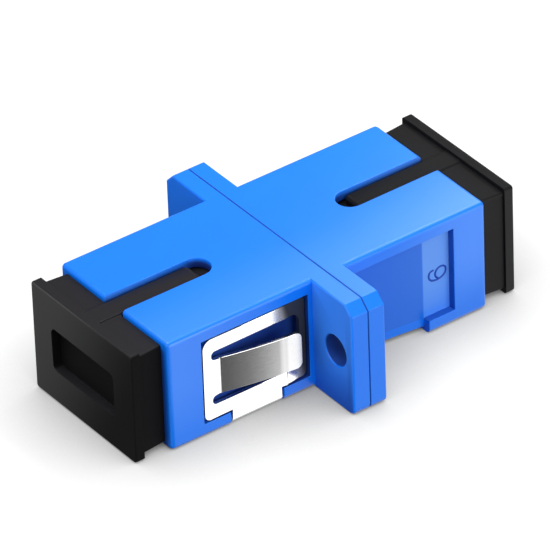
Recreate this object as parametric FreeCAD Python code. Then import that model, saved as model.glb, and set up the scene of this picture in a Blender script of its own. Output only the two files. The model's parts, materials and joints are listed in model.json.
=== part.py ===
import FreeCAD, Part
import math
import os

from FreeCAD import Vector

# Flanged push-pull fibre optic adapter with its panel clip and two dust caps.
# Sizes are in millimetres. X runs along the light path and Z points to the key side.
# The origin is where the two fibre ends meet, in the plane between the two housing halves.
# Every half is drawn on the +X side. The front one is the same piece turned about Z.

# Moulded body
body_half_length = 13.85
body_side_wall = 1.85
body_roof_wall = 0.825
body_top_radius = 0.36
body_foot_radius = 0.45
body_mouth_radius = 0.32

# Panel flange, half of it on each housing
flange_ear_reach = 4.6
flange_half_thickness = 1.45
flange_corner_chamfer = 0.78
flange_foot_radius = 0.5
flange_face_chamfer = 0.1
panel_hole_inset = 2.0
panel_hole_diameter = 2.4
panel_hole_chamfer = 0.1
seam_chamfer = 0.07

# Welding studs and sockets on the parting face
stud_diameter = 0.9
stud_height = 0.9
stud_side_offset = 0.8
stud_roof_inset = 1.475
stud_clearance = 0.06

# Plug opening and its keyway
socket_width = 9.1
socket_height = 7.5
socket_corner_radius = 0.35
socket_lead_in = 0.2
keyway_width = 2.2
keyway_length = 8.2
flex_room_depth = 0.35
flex_room_play = 0.35
flex_room_length = 5.1
flex_room_end_gap = 0.8

# Clip recess in both side walls
recess_flange_margin = 0.35
recess_mouth_margin = 2.85
recess_roof_margin = 1.075
recess_flat_depth = 0.65
recess_flat_length = 2.3
recess_deep_depth = 1.4
strap_gap_flange_margin = 2.65
strap_gap_length = 4.6
strap_groove_depth = 0.34

# Sleeve holder, one in each half
holder_plate_thickness = 1.0
holder_plate_overlap = 0.75
holder_plate_rise = 0.2
holder_pocket_clearance = 0.05
holder_corner_radius = 0.3
barrel_wall = 0.55
barrel_tip_chamfer = 0.3
barrel_root_radius = 0.4
barrel_lip_thickness = 0.75
barrel_lip_play = 0.2
barrel_lead_in = 0.3
arm_thickness = 0.9
arm_height = 3.1
arm_side_clearance = 0.12
arm_reach = 8.8
arm_root_radius = 0.3
hook_depth = 0.75
hook_land = 0.35
hook_back_slope = 0.5
hook_lead_slope = 0.65

# Split alignment sleeve
sleeve_bore = 2.5
sleeve_wall = 0.35
sleeve_length = 11.4
sleeve_slot = 0.5
sleeve_play = 0.08
sleeve_end_float = 0.15
sleeve_edge_chamfer = 0.08

# Panel clip, bent from stainless strip
clip_sheet = 0.3
clip_recess_gap = 0.12
clip_face_depth = 0.06
clip_mouth_top_radius = 0.8
clip_mouth_foot_radius = 0.5
clip_flange_radius = 0.35
clip_bend_radius = 0.2
clip_edge_kink = 8.0
clip_kink_length = 1.9
clip_kink_radius = 1.2
window_mouth_bar = 1.45
window_flange_bar = 0.55
window_height = 4.5
window_flange_radius = 0.8
window_slot_radius = 0.33
tongue_width = 3.0
tongue_rise = 0.95
tongue_flat = 1.35
tongue_tip_gap = 0.7
tongue_tip_radius = 0.5
tongue_foot_bend = 0.7
tongue_crest_bend = 3.0
tongue_root_overlap = 0.4
strap_gap_clearance = 0.15
strap_overlap = 0.4

# Dust cap
plug_clearance = 0.1
plug_wall = 0.9
plug_depth = 10.0
plug_corner_radius = 0.3
plug_tip_chamfer = 0.25
plug_slot_clearance = 0.25
plug_slot_end_gap = 0.5
key_clearance = 0.1
key_end_gap = 1.18
key_corner_radius = 0.5
key_edge_chamfer = 0.18
key_drop = 0.32
neck_drop = 0.43
neck_seat_gap = 0.04
neck_length = 2.0
neck_root_inset = 0.78
neck_plate_inset = 0.58
neck_edge_radius = 0.2
plate_side_inset = 0.4
plate_roof_inset = 0.05
plate_thickness = 0.8
plate_corner_radius = 0.25
plate_edge_radius = 0.15
dimple_width = 7.4
dimple_height = 3.6
dimple_depth = 0.75
dimple_corner_radius = 0.45
cap_web = 1.2

# Values worked out from the sizes above
side = socket_width / 2 + body_side_wall
top = socket_height / 2 + body_roof_wall
flange_end = side + flange_ear_reach
panel_hole_place = flange_end - panel_hole_inset
keyway_start = body_half_length - keyway_length
plate_half_width = socket_width / 2 + holder_plate_overlap
plate_half_height = socket_height / 2 + holder_plate_rise
recess_half_height = top - recess_roof_margin
recess_start = flange_half_thickness + recess_flange_margin
recess_end = body_half_length - recess_mouth_margin
strap_gap_start = flange_half_thickness + strap_gap_flange_margin
strap_gap_end = strap_gap_start + strap_gap_length
sleeve_radius = sleeve_bore / 2 + sleeve_wall
chamber_radius = sleeve_radius + sleeve_play
chamber_reach = sleeve_length / 2 + sleeve_end_float
barrel_radius = chamber_radius + barrel_wall
barrel_reach = chamber_reach + barrel_lip_thickness
past = 1.0
touching = 1e-6
fillet_share = 0.45


def box(x_range, y_range, z_range):
    """Block between the given limits."""
    size = [high - low for low, high in (x_range, y_range, z_range)]
    return Part.makeBox(*size, Vector(x_range[0], y_range[0], z_range[0]))


def rod(radius, x_start, x_end, y=0.0, z=0.0):
    """Cylinder along X."""
    return Part.makeCylinder(radius, x_end - x_start, Vector(x_start, y, z), Vector(1, 0, 0))


def cone(radius_start, radius_end, x_start, x_end, y=0.0, z=0.0):
    """Tapered rod along X."""
    base = Vector(x_start, y, z)
    return Part.makeCone(radius_start, radius_end, x_end - x_start, base, Vector(1, 0, 0))


def mirrored(shape):
    """The same piece on the other side of the XZ plane."""
    return shape.mirror(Vector(0, 0, 0), Vector(0, 1, 0))


def turned(shape):
    """The front piece: the rear one turned half round about Z."""
    front = shape.copy()
    front.rotate(Vector(0, 0, 0), Vector(0, 0, 1), 180)
    return front


def both_sides(shape):
    """A piece and its mirror image, as a list."""
    return [shape, mirrored(shape)]


def within(radius, wall):
    """Radius kept under half of the wall that it rounds."""
    return min(radius, fillet_share * wall)


def rounded_path(points, radii, closed=True):
    """Wire through the points, with a tangent arc of the given radius at each corner."""
    count = len(points)
    corners = range(count) if closed else range(1, count - 1)
    ends = {}
    arcs = {}
    for index in corners:
        corner = points[index]
        back = (points[index - 1] - corner).normalize()
        ahead = (points[(index + 1) % count] - corner).normalize()
        half_turn = back.getAngle(ahead) / 2
        radius = radii[index]
        if radius <= 0:
            continue
        reach = radius / math.tan(half_turn)
        inward = (back + ahead).normalize()
        middle = corner + inward * (radius / math.sin(half_turn) - radius)
        ends[index] = (corner + back * reach, corner + ahead * reach)
        arcs[index] = Part.Arc(ends[index][0], middle, ends[index][1]).toShape()
    edges = []
    for index in range(count if closed else count - 1):
        following = (index + 1) % count
        start = ends[index][1] if index in ends else points[index]
        finish = ends[following][0] if following in ends else points[following]
        if start.distanceToPoint(finish) > touching:
            edges.append(Part.LineSegment(start, finish).toShape())
        if following in arcs:
            edges.append(arcs[following])
    return Part.Wire(edges)


def rounded_bar(x_start, x_end, width, height, top_radius, foot_radius):
    """Bar along X with its own radius on the upper and on the lower edges."""
    y, z = width / 2, height / 2
    corners = [Vector(x_start, y, z), Vector(x_start, -y, z),
               Vector(x_start, -y, -z), Vector(x_start, y, -z)]
    outline = rounded_path(corners, [top_radius, top_radius, foot_radius, foot_radius])
    return Part.Face(outline).extrude(Vector(x_end - x_start, 0, 0))


def edges_at(solid, x):
    """Edges that lie in the plane at x."""
    return [edge for edge in solid.Edges
            if all(abs(vertex.X - x) < touching for vertex in edge.Vertexes)]


def upright_slab(outline_points, z_range):
    """Slab with its outline in the XY plane, between two heights."""
    points = [Vector(x, y, z_range[0]) for x, y in outline_points]
    outline = Part.makePolygon(points + points[:1])
    return Part.Face(outline).extrude(Vector(0, 0, z_range[1] - z_range[0]))


def side_window(x_range, z_range, y_range, radii):
    """Rounded rectangle seen from the side, driven through a range of Y."""
    x0, x1 = x_range
    z0, z1 = z_range
    y = y_range[0]
    corners = [Vector(x0, y, z0), Vector(x1, y, z0), Vector(x1, y, z1), Vector(x0, y, z1)]
    face = Part.Face(rounded_path(corners, radii))
    return face.extrude(Vector(0, y_range[1] - y_range[0], 0))


def body_shell():
    """Outside of one half: the square body with its half of the flange."""
    body = rounded_bar(0, body_half_length, 2 * side, 2 * top,
                       body_top_radius, body_foot_radius)
    body = body.makeFillet(body_mouth_radius, edges_at(body, body_half_length))
    body = body.makeChamfer(seam_chamfer, edges_at(body, 0))

    y = flange_end
    ear = flange_corner_chamfer
    points = [Vector(0, y - ear, top), Vector(0, ear - y, top), Vector(0, -y, top - ear),
              Vector(0, -y, -top), Vector(0, y, -top), Vector(0, y, top - ear)]
    radii = [0, 0, 0, flange_foot_radius, flange_foot_radius, 0]
    flange = Part.Face(rounded_path(points, radii)).extrude(Vector(flange_half_thickness, 0, 0))
    flange = flange.makeChamfer(flange_face_chamfer, edges_at(flange, flange_half_thickness))
    flange = flange.makeChamfer(seam_chamfer, edges_at(flange, 0))
    return flange.fuse(body).removeSplitter()


def panel_holes():
    """The two screw holes through the flange, each with a broken edge."""
    cuts = []
    radius = panel_hole_diameter / 2
    for y in (-panel_hole_place, panel_hole_place):
        cuts.append(rod(radius, -past, flange_half_thickness + past, y))
        rim_start = flange_half_thickness - panel_hole_chamfer
        cuts.append(cone(radius, radius + 2 * panel_hole_chamfer, rim_start,
                         rim_start + 2 * panel_hole_chamfer, y))
    return cuts


def plug_opening():
    """Everything that is hollow inside one half, from the parting face to the mouth."""
    opening = rounded_bar(0, body_half_length + past, socket_width, socket_height,
                          socket_corner_radius, socket_corner_radius)
    pocket = rounded_bar(-past, holder_plate_thickness,
                         2 * (plate_half_width + holder_pocket_clearance),
                         2 * (plate_half_height + holder_pocket_clearance),
                         holder_corner_radius, holder_corner_radius)
    flex_y = socket_width / 2 + flex_room_depth
    flex_z = arm_height / 2 + flex_room_play
    flex_end = arm_reach + flex_room_end_gap
    flex_room = box((flex_end - flex_room_length, flex_end), (-flex_y, flex_y),
                    (-flex_z, flex_z))
    return [opening, pocket, flex_room, mouth_lead_in(), keyway()]


def mouth_lead_in():
    """Sloped edge round the mouth that guides the plug in."""
    sections = []
    for x, growth in ((body_half_length - socket_lead_in, 0.0),
                      (body_half_length + socket_lead_in, 2 * socket_lead_in)):
        y = socket_width / 2 + growth
        z = socket_height / 2 + growth
        corners = [Vector(x, y, z), Vector(x, -y, z), Vector(x, -y, -z), Vector(x, y, -z)]
        sections.append(Part.makePolygon(corners + corners[:1]))
    return Part.makeLoft(sections, True)


def keyway():
    """Slot for the plug's key through the top wall, with a full-round inner end."""
    radius = keyway_width / 2
    centre = keyway_start + radius
    slot = box((centre, body_half_length + past), (-radius, radius), (0, top + past))
    return slot.fuse(Part.makeCylinder(radius, top + past, Vector(centre, 0, 0)))


def recess_floor(x):
    """Half-width of the body left under the clip, at a distance x from the seam."""
    flat_start = recess_end - recess_flat_length
    if x >= flat_start:
        return side - recess_flat_depth
    slope = (recess_deep_depth - recess_flat_depth) / (flat_start - recess_start)
    return side - recess_flat_depth - slope * (flat_start - x)


def recess_outline(x_start, x_end):
    """Seen from above: the part of the clip recess between two distances from the seam."""
    flat_start = recess_end - recess_flat_length
    knee = [flat_start] if x_start < flat_start < x_end else []
    floor = [(x, recess_floor(x)) for x in [x_start] + knee + [x_end]]
    return floor + [(x_end, side + past), (x_start, side + past)]


def clip_recess():
    """Recess for the clip in both side walls, with its way out underneath."""
    pocket = upright_slab(recess_outline(recess_start, recess_end),
                          (-recess_half_height, recess_half_height))
    gap = upright_slab(recess_outline(strap_gap_start, strap_gap_end), (-top - past, 0))
    groove = box((strap_gap_start, strap_gap_end), (-side - past, side + past),
                 (-top - past, -top + strap_groove_depth))
    return both_sides(pocket) + both_sides(gap) + [groove]


def with_studs(half):
    """Two studs and two sockets on the parting face, placed so that equal halves mate."""
    y = side + stud_side_offset
    z = top - stud_roof_inset
    for stud_y, stud_z in ((y, z), (-y, -z)):
        half = half.fuse(rod(stud_diameter / 2, -stud_height, 0, stud_y, stud_z))
    for socket_y, socket_z in ((-y, z), (y, -z)):
        half = half.cut(rod(stud_diameter / 2 + stud_clearance, -past,
                            stud_height + stud_clearance, socket_y, socket_z))
    return half


def housing():
    """One moulded half of the adapter's body."""
    half = body_shell()
    half = half.cut(plug_opening() + panel_holes() + clip_recess())
    return with_studs(half).removeSplitter()


def latch_arm():
    """Springy arm with the hook that holds a plug, on the +Y side."""
    outer = socket_width / 2 - arm_side_clearance
    inner = outer - arm_thickness
    tip = arm_reach
    nose = inner - hook_depth
    outline = [(0, outer), (tip - hook_land, outer), (tip, outer - hook_land), (tip, inner),
               (tip - hook_lead_slope, nose), (tip - hook_lead_slope - hook_land, nose),
               (tip - hook_lead_slope - hook_land - hook_back_slope, inner),
               (holder_plate_thickness + arm_root_radius, inner),
               (holder_plate_thickness, inner - arm_root_radius), (0, inner - arm_root_radius)]
    return upright_slab(outline, (-arm_height / 2, arm_height / 2))


def barrel():
    """Tube that holds the sleeve, with a retaining lip at its far end."""
    tube = rod(barrel_radius, 0, barrel_reach)
    tube = tube.makeChamfer(barrel_tip_chamfer, edges_at(tube, barrel_reach))
    root = cone(barrel_radius + barrel_root_radius, barrel_radius,
                holder_plate_thickness, holder_plate_thickness + barrel_root_radius)
    return tube.fuse(root)


def sleeve_holder():
    """Inner carrier: base plate, barrel and two latch arms in one moulding."""
    plate = rounded_bar(0, holder_plate_thickness, 2 * plate_half_width, 2 * plate_half_height,
                        holder_corner_radius, holder_corner_radius)
    holder = plate.fuse([barrel()] + both_sides(latch_arm()))
    lip_radius = sleeve_bore / 2 + barrel_lip_play
    mouth = cone(lip_radius, lip_radius + 2 * barrel_lead_in,
                 barrel_reach - barrel_lead_in, barrel_reach + barrel_lead_in)
    holder = holder.cut([rod(chamber_radius, -past, chamber_reach),
                         rod(lip_radius, 0, barrel_reach + past), mouth])
    return holder.removeSplitter()


def alignment_sleeve():
    """Split ceramic sleeve that lines the two plugs' ferrules up."""
    half = sleeve_length / 2
    sleeve = rod(sleeve_radius, -half, half)
    ends = edges_at(sleeve, -half) + edges_at(sleeve, half)
    sleeve = sleeve.makeChamfer(sleeve_edge_chamfer, ends)
    slot = box((-half - past, half + past), (-sleeve_slot / 2, sleeve_slot / 2),
               (0, sleeve_radius + past))
    sleeve = sleeve.cut([rod(sleeve_bore / 2, -half - past, half + past), slot])
    for x, outward in ((half, 1), (-half, -1)):
        wide = sleeve_bore / 2 + sleeve_edge_chamfer
        base = Vector(x, 0, 0)
        flare = Part.makeCone(wide, sleeve_bore / 2, sleeve_edge_chamfer, base,
                              Vector(-outward, 0, 0))
        sleeve = sleeve.cut(flare)
    return sleeve


def bent_strip(points, bend_radii, run):
    """Strip of the clip's sheet along a path, with a radius at each bend. The path is the
    strip's outer face, the sheet lies on its left as seen against run, and run is the
    strip's width as a vector."""
    normal = Vector(run).normalize()
    ahead = [(after - before).normalize() for before, after in zip(points, points[1:])]
    left = [normal.cross(direction) for direction in ahead]
    inner = [points[0] + left[0] * clip_sheet]
    outer_radii = [0.0]
    inner_radii = [0.0]
    bends = zip(points[1:], bend_radii, left, left[1:], ahead, ahead[1:])
    for corner, radius, before, after, way, next_way in bends:
        inner.append(corner + (before + after) * (clip_sheet / (1 + before.dot(after))))
        turns_left = normal.dot(way.cross(next_way)) > 0
        outer_radii.append(radius + (clip_sheet if turns_left else 0.0))
        inner_radii.append(radius + (0.0 if turns_left else clip_sheet))
    inner.append(points[-1] + left[-1] * clip_sheet)
    outer_radii.append(0.0)
    inner_radii.append(0.0)
    outline = rounded_path(points + inner[::-1], outer_radii + inner_radii[::-1])
    return Part.Face(outline).extrude(run)


def clip_frame(face_y, x_range, half_height):
    """Window frame of the clip on the +Y side, kinked inwards beside the flange."""
    start, end = x_range
    kink_start = start + clip_kink_length
    kink_drop = clip_kink_length * math.tan(math.radians(clip_edge_kink))
    path = [Vector(start, face_y - kink_drop, -half_height),
            Vector(kink_start, face_y, -half_height), Vector(end, face_y, -half_height)]
    sheet = bent_strip(path[::-1], [clip_kink_radius], Vector(0, 0, 2 * half_height))
    span = (side - past, side + past)
    radii = [clip_flange_radius, clip_mouth_foot_radius,
             clip_mouth_top_radius, clip_flange_radius]
    sheet = sheet.common(side_window(x_range, (-half_height, half_height), span, radii))

    slot_width = (window_height - tongue_width) / 2
    slot_radius = within(window_slot_radius, slot_width)
    window_start = start + window_flange_bar
    window_end = end - window_mouth_bar
    opening = side_window((window_start, window_end), (-window_height / 2, window_height / 2),
                          span, [window_flange_radius, slot_radius,
                                 slot_radius, window_flange_radius])
    for foot in (-window_height / 2, tongue_width / 2):
        slot = side_window((window_end - past, window_end + slot_width),
                           (foot, foot + slot_width), span, [slot_radius] * 4)
        opening = opening.fuse(slot)
    return sheet.cut(opening), window_start, window_end


def clip_tongue(face_y, window_start, window_end):
    """Spring tongue that rises out of the window and holds the panel."""
    tip = window_start + tongue_tip_gap
    crest = tip + tongue_flat
    foot = -tongue_width / 2
    root = window_end + tongue_root_overlap
    path = [Vector(root, face_y, foot), Vector(window_end, face_y, foot),
            Vector(crest, face_y + tongue_rise, foot), Vector(tip, face_y + tongue_rise, foot)]
    bends = [tongue_foot_bend, tongue_crest_bend]
    sheet = bent_strip(path, bends, Vector(0, 0, tongue_width))
    span = (side - past, side + tongue_rise + past)
    radii = [tongue_tip_radius, 0, 0, tongue_tip_radius]
    return sheet.common(side_window((tip, root), (foot, -foot), span, radii))


def panel_clip():
    """Stainless clip: two window frames with tongues, joined by a strap under the body."""
    face_y = side - clip_face_depth
    x_range = (recess_start + clip_recess_gap, recess_end - clip_recess_gap)
    half_height = recess_half_height - clip_recess_gap
    frame, window_start, window_end = clip_frame(face_y, x_range, half_height)
    tongue = clip_tongue(face_y, window_start, window_end)
    strap_start = strap_gap_start + strap_gap_clearance
    strap_end = strap_gap_end - strap_gap_clearance
    strap_top = strap_overlap - half_height
    path = [Vector(strap_start, face_y, strap_top), Vector(strap_start, face_y, -top),
            Vector(strap_start, -face_y, -top), Vector(strap_start, -face_y, strap_top)]
    strap = bent_strip(path[::-1], [clip_bend_radius] * 2,
                       Vector(strap_end - strap_start, 0, 0))
    return strap.fuse(both_sides(frame) + both_sides(tongue)).removeSplitter()


def cap_plug():
    """Hollow plug of the dust cap, slotted where the latch arms reach in."""
    width = socket_width - 2 * plug_clearance
    height = socket_height - 2 * plug_clearance
    tip = body_half_length - plug_depth
    seat = body_half_length + neck_seat_gap
    plug = rounded_bar(tip, seat + neck_length / 2, width, height,
                       plug_corner_radius, plug_corner_radius)
    return plug.makeChamfer(plug_tip_chamfer, edges_at(plug, tip))


def cap_hollow():
    """Inside of the plug and its two side slots."""
    tip = body_half_length - plug_depth
    width = socket_width - 2 * (plug_clearance + plug_wall)
    height = socket_height - 2 * (plug_clearance + plug_wall)
    outer_face = body_half_length + neck_seat_gap + neck_length + plate_thickness
    hollow = rounded_bar(tip - past, outer_face - dimple_depth - cap_web, width, height,
                         plug_corner_radius, plug_corner_radius)
    slot_half = arm_height / 2 + plug_slot_clearance
    slots = box((tip - past, arm_reach + plug_slot_end_gap), (-side, side),
                (-slot_half, slot_half))
    return [hollow, slots]


def cap_key():
    """Rib that fills the keyway and runs on over the neck to the end plate."""
    seat = body_half_length + neck_seat_gap
    tip = keyway_start + key_end_gap
    root = seat + neck_length
    y = keyway_width / 2 - key_clearance
    level = top - key_drop
    foot = level - past
    radius = within(key_corner_radius, y)
    corners = [Vector(tip, y, foot), Vector(tip, -y, foot),
               Vector(root, -y, foot), Vector(root, y, foot)]
    outline = rounded_path(corners, [radius, radius, 0, 0])
    key = Part.Face(outline).extrude(Vector(0, 0, past))
    upper = [edge for edge in key.Edges
             if edge.CenterOfMass.z > level - touching
             and edge.CenterOfMass.x < root - touching]
    return key.makeChamfer(key_edge_chamfer, upper)


def cap_neck():
    """Tapered neck between the mouth of the body and the end plate."""
    seat = body_half_length + neck_seat_gap
    plate = seat + neck_length
    root, wide = side - neck_root_inset, side - neck_plate_inset
    level = top - neck_drop
    neck = upright_slab([(seat, root), (seat, -root), (plate, -wide), (plate, wide)],
                        (-level, level))
    long_edges = [edge for edge in neck.Edges
                  if abs(edge.CenterOfMass.y) > touching
                  and abs(edge.Vertexes[0].X - edge.Vertexes[1].X) > touching]
    return neck.makeFillet(neck_edge_radius, long_edges)


def cap_plate():
    """End plate that the fingers pull."""
    start = body_half_length + neck_seat_gap + neck_length
    end = start + plate_thickness
    plate = rounded_bar(start, end, 2 * (side - plate_side_inset), 2 * (top - plate_roof_inset),
                        plate_corner_radius, plate_corner_radius)
    return plate.makeFillet(plate_edge_radius, edges_at(plate, end))


def dust_cap():
    """Soft black cap that closes one mouth of the adapter."""
    outer_face = body_half_length + neck_seat_gap + neck_length + plate_thickness
    cap = cap_plug().fuse([cap_key(), cap_neck(), cap_plate()])
    dimple = rounded_bar(outer_face - dimple_depth, outer_face + past,
                         dimple_width, dimple_height,
                         dimple_corner_radius, dimple_corner_radius)
    return cap.cut(cap_hollow() + [dimple]).removeSplitter()


def main():
    """Build every piece once and write it to its own file."""
    rear_half = housing()
    rear_holder = sleeve_holder()
    rear_cap = dust_cap()
    pieces = {
        "front_housing": turned(rear_half),
        "rear_housing": rear_half,
        "front_sleeve_holder": turned(rear_holder),
        "rear_sleeve_holder": rear_holder,
        "alignment_sleeve": alignment_sleeve(),
        "panel_clip": turned(panel_clip()),
        "front_dust_cap": turned(rear_cap),
        "rear_dust_cap": rear_cap,
    }
    os.makedirs("parts", exist_ok=True)
    for name, shape in pieces.items():
        solids = shape.Solids
        if len(solids) != 1 or not shape.isValid():
            raise RuntimeError(f"{name}: {len(solids)} solids, valid {shape.isValid()}")
        solids[0].exportStep(f"parts/{name}.step")
        print(name, round(shape.Volume, 3), "mm3")


main()
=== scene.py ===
import json
import math

import bmesh
import bpy
from mathutils import Euler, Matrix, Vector


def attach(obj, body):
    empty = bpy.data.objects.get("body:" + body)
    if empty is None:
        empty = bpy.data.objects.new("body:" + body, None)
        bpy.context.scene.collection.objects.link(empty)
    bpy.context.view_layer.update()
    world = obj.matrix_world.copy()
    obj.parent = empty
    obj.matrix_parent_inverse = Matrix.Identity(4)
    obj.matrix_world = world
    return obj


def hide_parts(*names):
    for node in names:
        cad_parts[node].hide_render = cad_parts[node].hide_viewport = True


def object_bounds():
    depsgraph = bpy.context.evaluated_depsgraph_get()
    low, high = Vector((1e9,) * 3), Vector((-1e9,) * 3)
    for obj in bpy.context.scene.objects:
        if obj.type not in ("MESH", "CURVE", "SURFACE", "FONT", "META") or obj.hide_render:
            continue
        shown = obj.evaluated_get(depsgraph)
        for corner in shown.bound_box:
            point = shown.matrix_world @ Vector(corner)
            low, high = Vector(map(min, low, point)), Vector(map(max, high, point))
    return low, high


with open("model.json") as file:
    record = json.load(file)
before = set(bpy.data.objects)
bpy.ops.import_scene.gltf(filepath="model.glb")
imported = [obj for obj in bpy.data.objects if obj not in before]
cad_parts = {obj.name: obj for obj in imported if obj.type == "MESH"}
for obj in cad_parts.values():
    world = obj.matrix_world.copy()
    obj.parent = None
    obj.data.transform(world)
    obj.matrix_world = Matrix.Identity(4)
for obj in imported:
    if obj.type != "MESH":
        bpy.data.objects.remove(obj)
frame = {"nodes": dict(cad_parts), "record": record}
cad_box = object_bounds()

# Every size below is in millimetres; Blender works in metres
MM = 0.001

# Camera: where it stands, how it is turned in degrees, and the length and width of its film
camera_place = (-261.97, -370.88, 318.07)
camera_turn = (55.0465, 1.7768, -36.4753)
camera_lens = 513.83
camera_film = 36.0

# Lamps: place, side of the square and power in watts
studio_lamps = {
    "overhead": ((-60, 40, 240), 200, 0.49),
    "front_fill": ((30, -262, 30), 260, 0.72),
    "left_key": ((-235, -50, 60), 200, 0.16),
    "softbox": ((37, 15, 40), 26, 0.0115),
}

# Even light from all round: its strength at the horizon, how much it gains straight up and how
# much it loses towards the back
daylight = 0.42
daylight_rise = 0.2
daylight_turn = 0.1

# Studio panels and black flags seen in the gloss: where they lie, how far out they are full
# and gone, in degrees, and how much light they add or take
gloss_level = 0.3
studio_panels = [
    ((0.70, -0.45, -0.56), 19, 37, 1.4),
    ((-0.10, -0.85, -0.55), 15, 35, -0.15),
    ((0.50, 0.65, -0.55), 15, 45, 0.6),
    ((-0.47, 0.67, -0.57), 18, 45, -0.2),
    ((-0.47, -0.67, -0.57), 20, 40, -0.2),
    ((0.47, -0.50, 0.72), 15, 40, -0.3),
    ((-0.74, -0.36, -0.57), 6, 15, 1.3),
]

# Floor: how far it reaches and how far it lies below the object, the share of it that the lamps
# light, how far its contact shadow reaches and which way the floor looks for what shades it
floor_reach = 2000
floor_drop = 0.02
floor_paint = 0.12
floor_glow = 0.94
shadow_reach = 8.5
shadow_side = (0.05, -0.15, 0.98)
shadow_rays = 12

# Broken edges of each kind of piece, the angle in degrees from which an edge counts as sharp,
# and how many edge widths a face must measure to have its edges broken
moulded_edge = 0.05
cap_edge = 0.06
sheet_edge = 0.05
edge_steps = 2
sharp_angle = 35.0
wide_enough = 2.2

# What is one point, and one flat face in degrees, when a CAD piece is put together again
same_point = 0.0001
same_flat = 0.5

# Spring tongues of the clip: where the ramp leaves the frame and meets the crest, where the crest
# ends, half the tongue's width, how much the ramp is arched and how far the crest is lifted
ramp_root = -9.43
ramp_crest = -4.52
crest_end = -3.0
tongue_half_width = 1.55
ramp_arch = 0.075
ramp_steps = 10
crest_lift = 0.12

# The mouldings: top, side and end of the body, and the face of the flange's ear
body_top = 4.575
body_side = 6.4
body_end = 13.85
ear_start = 6.5

# Keyway in the roof: half its width, where its round end starts, how deep its walls are seen,
# where its painted shade fades out below the top, and where it is darkest and no longer darkest
keyway_half = 1.1
keyway_start = 5.65
keyway_floor = 3.0
keyway_fade = 0.45
keyway_darkest = 6.1
keyway_lighter = 7.3

# Clip recess: its ends, half its height, where the flat starts, how far out its slope and its
# flat lie, and the corner that the clip's rounded frame leaves free
recess_start = 1.8
recess_end = 11.0
recess_half_height = 3.5
flat_start = 8.7
slope_floor = 5.0
flat_floor = 5.75
free_corner_out = 10.5
free_corner_level = 2.95
free_corner_soft = 0.15

# Screw hole in the flange, and the dark seam between the two mouldings
hole_place = 9.0
hole_radius = 1.2
seam_half = 0.03
seam_soft = 0.05

# Strip of painted shade beside the neck of the cap: from where to where it lies, how softly it
# ends, how high it reaches and how it fades out there
mouth_strip = (5.0, 5.6)
mouth_soft = 0.7
mouth_height = 3.6
mouth_fade = 0.5

# Painted light, paler on the near side: from where to where it grows, outwards and upwards
side_light_start = 4.0
side_light_full = 13.0
upper_start = -5.0
upper_full = 1.0

# The dust caps: the pull plate's face and half its width
plate_face = 16.6
plate_half = 5.5

# Painted dark reflection where the clip's frame is kinked in beside the flange: where it starts
# and is full, how much further out it starts per millimetre down, and the frame's outer face
kink_start = -4.1
kink_full = -2.75
kink_slant = 0.27
frame_face = 6.5
frame_soft = 0.15

# Masks: the hair's breadth that one takes in past its face, how softly it ends, and a softer end
hair = 0.02
soft = 0.03
softer = 0.1

# Cavity number on the flat of the rear recess, as x and z of its stroke
number_floor = -5.75
number_stroke = 0.075
number_steps = 90
number_sides = 10
number_path = [
    (9.62, 0.20), (9.36, 0.16), (9.21, -0.06), (9.24, -0.38), (9.46, -0.62), (9.82, -0.72),
    (10.20, -0.68), (10.52, -0.52), (10.70, -0.26), (10.68, 0.06), (10.46, 0.25), (10.14, 0.26),
    (9.88, 0.10), (9.77, -0.16), (9.83, -0.44), (10.02, -0.64),
]


class Value:
    """An output of a node that can stand in a Python expression."""

    def __init__(self, wiring, socket):
        self.wiring = wiring
        self.socket = socket

    def maths(self, operation, first, second=0.0):
        return self.wiring.node("ShaderNodeMath", {"operation": operation}, {0: first, 1: second})

    def __add__(self, other):
        return self.maths("ADD", self, other)

    def __radd__(self, other):
        return self.maths("ADD", other, self)

    def __sub__(self, other):
        return self.maths("SUBTRACT", self, other)

    def __rsub__(self, other):
        return self.maths("SUBTRACT", other, self)

    def __mul__(self, other):
        return self.maths("MULTIPLY", self, other)

    def __rmul__(self, other):
        return self.maths("MULTIPLY", other, self)

    def __truediv__(self, other):
        return self.maths("DIVIDE", self, other)

    def __rtruediv__(self, other):
        return self.maths("DIVIDE", other, self)


class Wiring:
    """A node tree that is being wired up."""

    def __init__(self, tree):
        self.tree = tree
        tree.nodes.clear()

    def node(self, kind, settings=None, values=None, output=0):
        """Add a node: its settings first, then the values or links of its sockets."""
        made = self.tree.nodes.new(kind)
        for name, setting in (settings or {}).items():
            setattr(made, name, setting)
        for key, value in (values or {}).items():
            if isinstance(value, Value):
                self.tree.links.new(value.socket, made.inputs[key])
            else:
                made.inputs[key].default_value = value
        return Value(self, made.outputs[output]) if len(made.outputs) else made


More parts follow.
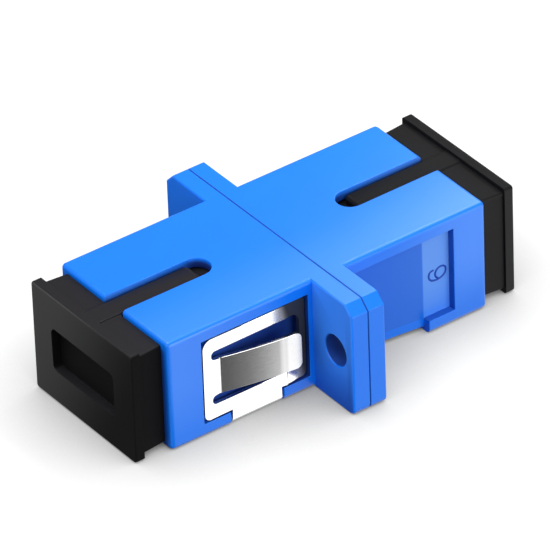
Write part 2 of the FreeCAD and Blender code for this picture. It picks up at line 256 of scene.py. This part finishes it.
class Finish(Wiring):
    """The nodes of a material or of the world."""

    def __init__(self, owner):
        owner.use_nodes = True
        self.owner = owner
        super().__init__(owner.node_tree)

    def parts(self, vector):
        """X, Y and Z of a vector."""
        split = self.node("ShaderNodeSeparateXYZ", {}, {0: vector}).socket.node
        return [Value(self, socket) for socket in split.outputs]

    def places(self):
        """How far along X, Y and Z a point of the object lies, in millimetres."""
        spot = self.node("ShaderNodeTexCoord", output="Object")
        return [part / MM for part in self.parts(spot)]

    def noise(self, size, detail=2.0, stretch=(1, 1, 1)):
        """Soft random pattern, its grains about size millimetres across."""
        spot = self.node("ShaderNodeTexCoord", output="Object")
        scale = tuple(share / (size * MM) for share in stretch)
        spot = self.node("ShaderNodeMapping", {}, {"Vector": spot, "Scale": scale})
        return self.node("ShaderNodeTexNoise", {},
                         {"Vector": spot, "Scale": 1.0, "Detail": detail})

    def ramp(self, value, low, high):
        """0 below low, 1 above high and a soft step between them."""
        return self.node("ShaderNodeMapRange", {"interpolation_type": "SMOOTHSTEP"},
                         {"Value": value, "From Min": low, "From Max": high})

    def up_to(self, value, high, fade=soft):
        """1 as far as high, and 0 further out."""
        return 1 - self.ramp(value, high, high + fade)

    def band(self, value, low, high, fade=soft):
        """1 from low to high, and 0 further out."""
        return self.ramp(value, low - fade, low) * self.up_to(value, high, fade)

    def facing(self, axis, sense, low=0.7, high=0.95):
        """1 on faces that look along X, Y or Z of the object, in the sense given."""
        away = self.node("ShaderNodeTexCoord", output="Normal")
        return self.ramp(sense * self.parts(away)["XYZ".index(axis)], low, high)

    def mixed(self, share, first, second):
        """Colour between two others."""
        return self.node("ShaderNodeMix", {"data_type": "RGBA"},
                         {0: share, 6: first, 7: second}, output=2)

    def surface(self, tint, roughness, height, relief, **fixed):
        """The finished material: colour, gloss and relief in millimetres."""
        bump = self.node("ShaderNodeBump", {}, {"Height": height, "Distance": relief * MM})
        values = {"Base Color": tint, "Roughness": roughness, "Normal": bump}
        skin = self.node("ShaderNodeBsdfPrincipled", {}, values | fixed)
        self.node("ShaderNodeOutputMaterial", {}, {"Surface": skin})
        return self.owner


def absolute(value):
    return value.maths("ABSOLUTE", value)


def root(value):
    return value.maths("SQRT", value)


def colour(red, green, blue):
    return (red, green, blue, 1.0)


def shaded_places(finish, along, across, height, in_recess):
    """Where light hardly reaches the mouldings, from 0 to 1."""
    out, side, level = absolute(along), absolute(across), absolute(height)
    front = finish.up_to(along, 0.0, softer)
    wall = finish.band(side, flat_floor + soft, body_side - 4 * hair)
    keyway = (finish.up_to(side, keyway_half + soft)
              * finish.ramp(out, keyway_start - softer, keyway_start)
              * finish.ramp(height, keyway_floor, keyway_floor + softer)
              * finish.up_to(height, body_top - keyway_fade, keyway_fade - soft))
    key_end = finish.up_to(out, keyway_darkest, keyway_lighter - keyway_darkest)
    free_corner = (finish.ramp(out, free_corner_out, free_corner_out + free_corner_soft)
                   * finish.ramp(level, free_corner_level, free_corner_level + free_corner_soft))
    under_clip = (finish.band(side, slope_floor - 2 * softer, body_side - 3 * hair)
                  * finish.band(out, recess_start - hair, recess_end + hair)
                  * in_recess * front * (1 - free_corner))
    end_wall = finish.band(out, recess_end - hair, recess_end + hair) * wall * in_recess
    foot_wall = (finish.band(height, -recess_half_height - soft, -recess_half_height + 2 * hair)
                 * finish.band(out, recess_start, recess_end) * wall)
    from_hole = root((side - hole_place) * (side - hole_place) + height * height)
    hole = finish.up_to(from_hole, hole_radius + hair / 2, 2 * hair)
    seam = finish.up_to(out, seam_half, seam_soft)
    mouth = (finish.ramp(out, body_end - 3 * softer, body_end - softer)
             * finish.band(side, *mouth_strip, mouth_soft)
             * finish.up_to(height, mouth_height, mouth_fade))
    # Painted shade in each place by its share; the seam is the dark joint between the mouldings
    return 1 - math.prod(1 - depth * place for depth, place in (
        (0.6 + 0.38 * key_end, keyway), (0.9, under_clip), (0.6, end_wall), (0.5, foot_wall),
        (0.85, hole), (0.8, seam), (0.9, mouth)))


def moulded_blue():
    """Blue housing plastic, paler where the light falls and deeper where it hardly reaches."""
    finish = Finish(bpy.data.materials.new("moulded_blue"))
    along, across, height = finish.places()
    out, side = absolute(along), absolute(across)
    in_recess = finish.up_to(absolute(height), recess_half_height + hair)
    rear = finish.ramp(along, 0.0, softer)
    near = finish.ramp(0 - across, 0.0, body_side)
    upper = finish.ramp(height, upper_start, upper_full)
    # Painted shade where light hardly reaches, together with the dark seam
    painted_shade_and_seam = shaded_places(finish, along, across, height, in_recess)
    flat = (finish.band(side, flat_floor - hair, flat_floor + hair)
            * finish.band(out, flat_start, recess_end) * in_recess * rear)
    slope = (finish.band(side, slope_floor - soft - hair, flat_floor - hair)
             * finish.band(out, recess_start, flat_start) * in_recess * rear)
    # Painted light on the near side, growing outwards and upwards
    near_side_painted_light = finish.facing("Y", -1) * finish.ramp(out, side_light_start, side_light_full) * upper
    lit_top = finish.facing("Z", 1) * near
    ear = finish.facing("X", -1) * finish.ramp(side, body_side, ear_start)

    flow = finish.noise(4.0)
    grain = finish.noise(0.12, 3.0)
    tint = finish.mixed(flow, colour(0.001, 0.165, 0.84), colour(0.002, 0.185, 0.90))
    # Painted light and shade over the plastic's own tones: painted light on the near side and the
    # tops near the front, painted shade low on the ear's face and painted light high on it
    # The flat of the rear recess is paler, partly its own matte tone and partly painted light
    # that grows towards its top; painted shade on the slope and where light hardly reaches, and
    # the dark seam
    for share, shade in (
            ((0.6 + 0.3 * rear) * near_side_painted_light, colour(0.065, 0.27, 0.98)),
            (0.7 * lit_top, colour(0.04, 0.235, 0.95)),
            (0.7 * ear * (1 - upper), colour(0.0005, 0.07, 0.6)),
            (0.6 * ear * upper * near, colour(0.05, 0.27, 1.0)),
            (flat * (0.3 + 0.7 * upper), colour(0.13, 0.34, 0.92)),
            (0.6 * slope, colour(0.012, 0.12, 0.62)),
            (painted_shade_and_seam, colour(0.0005, 0.022, 0.2))):
        tint = finish.mixed(share, tint, shade)
    roughness = 0.3 + 0.08 * grain + 0.15 * flat + 0.4 * painted_shade_and_seam + 0.3 * ear
    return finish.surface(tint, roughness, grain, 0.0012, IOR=1.44)


def number_painted_shade():
    """The housing plastic once more, darker: painted shade for the small number."""
    finish = Finish(bpy.data.materials.new("number_painted_shade"))
    grain = finish.noise(0.1, 3.0)
    tint = finish.mixed(grain, colour(0.001, 0.05, 0.38), colour(0.001, 0.06, 0.45))
    return finish.surface(tint, 0.45 + 0.1 * grain, grain, 0.0012)


def soft_black():
    """Soft black cap plastic, with a painted sheen across the front pull plate, painted shade and
    rougher gloss on the front cap's near side, and painted light on its top.
    """
    finish = Finish(bpy.data.materials.new("soft_black"))
    along, across, height = finish.places()
    front = finish.ramp(0 - along, 0.0, softer)
    plate_painted_sheen = (finish.ramp(0 - along, plate_face, plate_face + soft + hair)
              * finish.ramp(across + 0.5 * height, -plate_half, 1.2 * plate_half))
    dull_painted_shade = front * finish.facing("Y", -1, 0.4, 0.9)
    top = finish.facing("Z", 1, 0.7, 0.9)

    flow = finish.noise(3.0)
    grain = finish.noise(0.1, 3.0)
    tint = finish.mixed(flow, colour(0.004, 0.004, 0.0045), colour(0.007, 0.007, 0.008))
    # Painted sheen across the front pull plate, paler towards one side; painted shade on the
    # front cap's near side; painted light on the front cap's top
    for share, shade in (
            (plate_painted_sheen, colour(0.06, 0.06, 0.061)),
            (dull_painted_shade, colour(0.001, 0.001, 0.0015)),
            (0.8 * front * top, colour(0.016, 0.0145, 0.017))):
        tint = finish.mixed(share, tint, shade)
    roughness = 0.42 + 0.1 * grain + 0.4 * dull_painted_shade + 0.25 * (1 - front) * top
    return finish.surface(tint, roughness, grain, 0.003, IOR=1.26)


def rolled_steel():
    """Bright spring strip, with a painted dark reflection where the frame is kinked in beside the
    flange.
    """
    finish = Finish(bpy.data.materials.new("rolled_steel"))
    along, across, height = finish.places()
    kinked = (finish.ramp(along + kink_slant * height, kink_start, kink_full)
              * finish.up_to(absolute(across), frame_face, frame_soft))
    streaks = finish.noise(0.08, 3.0, (0.05, 1, 1))
    tint = finish.mixed(streaks, colour(0.78, 0.78, 0.79), colour(0.88, 0.88, 0.88))
    # Painted dark reflection on the kinked part of the frame
    tint = finish.mixed(kinked, tint, colour(0.035, 0.034, 0.033))
    return finish.surface(tint, 0.14 + 0.08 * streaks + 0.2 * kinked, streaks, 0.0005,
                          Metallic=1 - 0.9 * kinked)


def natural_ivory():
    """Uncoloured plastic of the sleeve holders."""
    finish = Finish(bpy.data.materials.new("natural_ivory"))
    flow = finish.noise(2.0)
    tint = finish.mixed(flow, colour(0.72, 0.68, 0.58), colour(0.78, 0.75, 0.66))
    return finish.surface(tint, 0.4 + 0.1 * flow, finish.noise(0.1), 0.002)


def white_zirconia():
    """Ground ceramic of the alignment sleeve."""
    finish = Finish(bpy.data.materials.new("white_zirconia"))
    flow = finish.noise(1.0)
    tint = finish.mixed(flow, colour(0.85, 0.84, 0.81), colour(0.9, 0.89, 0.87))
    return finish.surface(tint, 0.12 + 0.06 * flow, finish.noise(0.05), 0.0005)


def object_with(name, mesh):
    piece = bpy.data.objects.new(name, mesh)
    bpy.context.scene.collection.objects.link(piece)
    return piece


def settled(piece):
    """The piece with its modifiers turned into plain mesh."""
    bpy.context.view_layer.update()
    ready = piece.evaluated_get(bpy.context.evaluated_depsgraph_get())
    piece.data = bpy.data.meshes.new_from_object(ready)
    piece.modifiers.clear()
    return piece


def sharp(line):
    return line.is_manifold and line.calc_face_angle() > math.radians(sharp_angle)


def roomy(face, edge):
    """Whether a face is wide enough to have its edges broken."""
    return 2 * face.calc_area() / face.calc_perimeter() > wide_enough * edge * MM


def break_edges(shape, edge):
    """Round the sharp edges between faces that are wide enough."""
    wide = {face for face in shape.faces if roomy(face, edge)}
    lines = [line for line in shape.edges
             if sharp(line) and all(face in wide for face in line.link_faces)]
    bmesh.ops.bevel(shape, geom=lines, offset=edge * MM, offset_type="OFFSET",
                    segments=edge_steps, profile=0.5, affect="EDGES", clamp_overlap=False)


def arch_tongues(shape):
    """Give the ramp of both spring tongues its slight outward arch, and lift the crest."""
    length = ramp_crest - ramp_root
    for step in range(1, ramp_steps):
        at = Vector(((ramp_root + length * step / ramp_steps) * MM, 0, 0))
        bmesh.ops.bisect_plane(shape, geom=shape.verts[:] + shape.edges[:] + shape.faces[:],
                               plane_co=at, plane_no=(1, 0, 0))
    for point in shape.verts:
        x = point.co.x / MM
        if ramp_root < x < crest_end and abs(point.co.z) < tongue_half_width * MM:
            along = (x - ramp_root) / length
            rise = 4 * ramp_arch * along * (1 - along) if along < 1 else (
                crest_lift * (x - ramp_crest) / (crest_end - ramp_crest))
            point.co.y += math.copysign(rise * MM, point.co.y)


def finished(node, name, edge, shaping=None):
    """A CAD piece once more, in one skin, with broken edges and evenly shaded flats."""
    shape = bmesh.new()
    shape.from_mesh(frame["nodes"][node].data)
    bmesh.ops.remove_doubles(shape, verts=shape.verts, dist=same_point * MM)
    bmesh.ops.dissolve_limit(shape, angle_limit=math.radians(same_flat),
                             verts=shape.verts, edges=shape.edges)
    break_edges(shape, edge)
    if shaping:
        shaping(shape)
    for face in shape.faces:
        face.smooth = True
    for line in shape.edges:
        line.smooth = line.is_manifold and not sharp(line)
    mesh = bpy.data.meshes.new(name)
    shape.to_mesh(mesh)
    shape.free()
    piece = object_with(name, mesh)
    even = piece.modifiers.new("even_flats", "WEIGHTED_NORMAL")
    even.keep_sharp = True
    return settled(piece)


def stroke_tree(finish):
    """Geometry Nodes: a smooth round stroke along the edges it is given."""
    tree = bpy.data.node_groups.new("number_stroke", "GeometryNodeTree")
    inputs = {"Line": "Geometry", "Radius": "Float", "Steps": "Int"}
    for name, kind in inputs.items():
        tree.interface.new_socket(name, in_out="INPUT", socket_type="NodeSocket" + kind)
    tree.interface.new_socket("Stroke", in_out="OUTPUT", socket_type="NodeSocketGeometry")
    wiring = Wiring(tree)
    entry = wiring.node("NodeGroupInput").socket.node
    line, radius, steps = (Value(wiring, entry.outputs[name]) for name in inputs)
    path = wiring.node("GeometryNodeMeshToCurve", {}, {"Mesh": line})
    path = wiring.node("GeometryNodeCurveSplineType", {"spline_type": "CATMULL_ROM"},
                       {"Curve": path})
    path = wiring.node("GeometryNodeResampleCurve", {}, {"Curve": path, "Count": steps})
    ring = wiring.node("GeometryNodeCurvePrimitiveCircle", {},
                       {"Resolution": number_sides, "Radius": radius})
    tube = wiring.node("GeometryNodeCurveToMesh", {},
                       {"Curve": path, "Profile Curve": ring, "Fill Caps": True})
    tube = wiring.node("GeometryNodeRealizeInstances", {}, {0: tube})
    tube = wiring.node("GeometryNodeSetMaterial", {}, {"Geometry": tube, "Material": finish})
    wiring.node("NodeGroupOutput", {}, {0: tube})
    return tree


def cavity_number():
    """Small number of the mould cavity, standing in the flat of the rear recess."""
    mesh = bpy.data.meshes.new("cavity_number")
    points = [Vector((x, number_floor, z)) * MM for x, z in number_path]
    mesh.from_pydata(points, [(at, at + 1) for at in range(len(points) - 1)], [])
    piece = object_with("cavity_number", mesh)
    stroke = piece.modifiers.new("stroke", "NODES")
    # The number's stroke is coloured with painted shade
    stroke.node_group = stroke_tree(number_painted_shade())
    sizes = {"Radius": number_stroke * MM, "Steps": number_steps}
    for socket in stroke.node_group.interface.items_tree:
        if socket.name in sizes:
            stroke[socket.identifier] = sizes[socket.name]
    return settled(piece)


# CAD node, name of the finished piece, body that it rides on, broken edge and extra shaping
finished_pieces = [
    ("front_housing", "front_half", "adapter", moulded_edge, None),
    ("rear_housing", "rear_half", "adapter", moulded_edge, None),
    ("front_sleeve_holder", "front_holder", "adapter", moulded_edge, None),
    ("rear_sleeve_holder", "rear_holder", "adapter", moulded_edge, None),
    ("panel_clip", "bent_clip", "adapter", sheet_edge, arch_tongues),
    ("front_dust_cap", "front_cap_moulding", "front_cap", cap_edge, None),
    ("rear_dust_cap", "rear_cap_moulding", "rear_cap", cap_edge, None),
]


def dress_the_adapter():
    materials = {
        "housing_plastic": moulded_blue(),
        "cap_plastic": soft_black(),
        "clip_steel": rolled_steel(),
        "holder_plastic": natural_ivory(),
        "sleeve_ceramic": white_zirconia(),
    }
    slots = {part["node"]: part["material_slot"] for part in frame["record"]["subparts"]}
    for node, name, body, edge, shaping in finished_pieces:
        piece = finished(node, name, edge, shaping)
        piece.data.materials.append(materials[slots[node]])
        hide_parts(node)
        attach(piece, body)
    sleeve = frame["nodes"]["alignment_sleeve"]
    sleeve.data.materials.clear()
    sleeve.data.materials.append(materials[slots["alignment_sleeve"]])
    number = cavity_number()
    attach(number, "adapter")


def make_camera():
    lens = bpy.data.cameras.new("camera")
    lens.lens = camera_lens
    lens.sensor_width = camera_film
    camera = object_with("camera", lens)
    camera.location = Vector(camera_place) * MM
    camera.rotation_euler = Euler([math.radians(angle) for angle in camera_turn])
    bpy.context.scene.camera = camera


def make_floor():
    """White floor under the object, brightened for the camera, with a soft contact shadow."""
    reach = floor_reach * MM
    level = cad_box[0].z - floor_drop * MM
    mesh = bpy.data.meshes.new("floor")
    mesh.from_pydata([(-reach, -reach, level), (reach, -reach, level),
                      (reach, reach, level), (-reach, reach, level)], [], [(0, 1, 2, 3)])
    floor = object_with("floor", mesh)
    finish = Finish(bpy.data.materials.new("white_floor"))
    seen = finish.node("ShaderNodeLightPath", output="Is Camera Ray")
    look = finish.node("ShaderNodeCombineXYZ", {}, dict(enumerate(shadow_side)))
    open_sky = finish.node("ShaderNodeAmbientOcclusion", {"samples": shadow_rays},
                           {"Distance": shadow_reach * MM, "Normal": look}, output="AO")
    paper = finish.node("ShaderNodeBsdfDiffuse", {},
                        {"Color": colour(floor_paint, floor_paint, floor_paint)})
    glow = finish.node("ShaderNodeEmission", {},
                       {"Color": colour(1, 1, 1), "Strength": seen * open_sky * floor_glow})
    both = finish.node("ShaderNodeAddShader", {}, {0: paper, 1: glow})
    finish.node("ShaderNodeOutputMaterial", {}, {"Surface": both})
    mesh.materials.append(finish.owner)
    floor.visible_glossy = False


def make_lamps():
    """Soft square lamps that face the middle of the object."""
    for name, (place, size, power) in studio_lamps.items():
        light = bpy.data.lights.new(name, "AREA")
        light.shape = "SQUARE"
        light.size = size * MM
        light.energy = power
        lamp = object_with(name, light)
        lamp.location = Vector(place) * MM
        lamp.rotation_euler = (-Vector(place)).to_track_quat("-Z", "Y").to_euler()


def make_world():
    """Plain light from all round, with the panels and flags of a studio in the gloss."""
    world = bpy.data.worlds.new("studio")
    bpy.context.scene.world = world
    finish = Finish(world)
    camera, glossy, through = (finish.node("ShaderNodeLightPath", output=name)
                               for name in ("Is Camera Ray", "Is Glossy Ray",
                                            "Is Transmission Ray"))
    towards = finish.node("ShaderNodeTexCoord", output="Generated")
    gloss = gloss_level
    for place, inner, outer, strength in studio_panels:
        near = finish.node("ShaderNodeVectorMath", {"operation": "DOT_PRODUCT"},
                           {0: towards, 1: Vector(place).normalized()}, output="Value")
        full, gone = (math.cos(math.radians(angle)) for angle in (inner, outer))
        gloss = gloss + strength * finish.ramp(near, gone, full)
    back, up = finish.parts(towards)[1:]
    plain = daylight + daylight_rise * up - daylight_turn * back
    level = plain * (1 - glossy) + gloss * glossy
    white = camera.maths("MAXIMUM", camera, through)
    glow = finish.node("ShaderNodeBackground", {},
                       {"Color": colour(1, 1, 1), "Strength": level * (1 - white) + white})
    finish.node("ShaderNodeOutputWorld", {}, {"Surface": glow})


dress_the_adapter()
make_camera()
make_floor()
make_lamps()
make_world()

bpy.context.scene.view_settings.view_transform = "Standard"
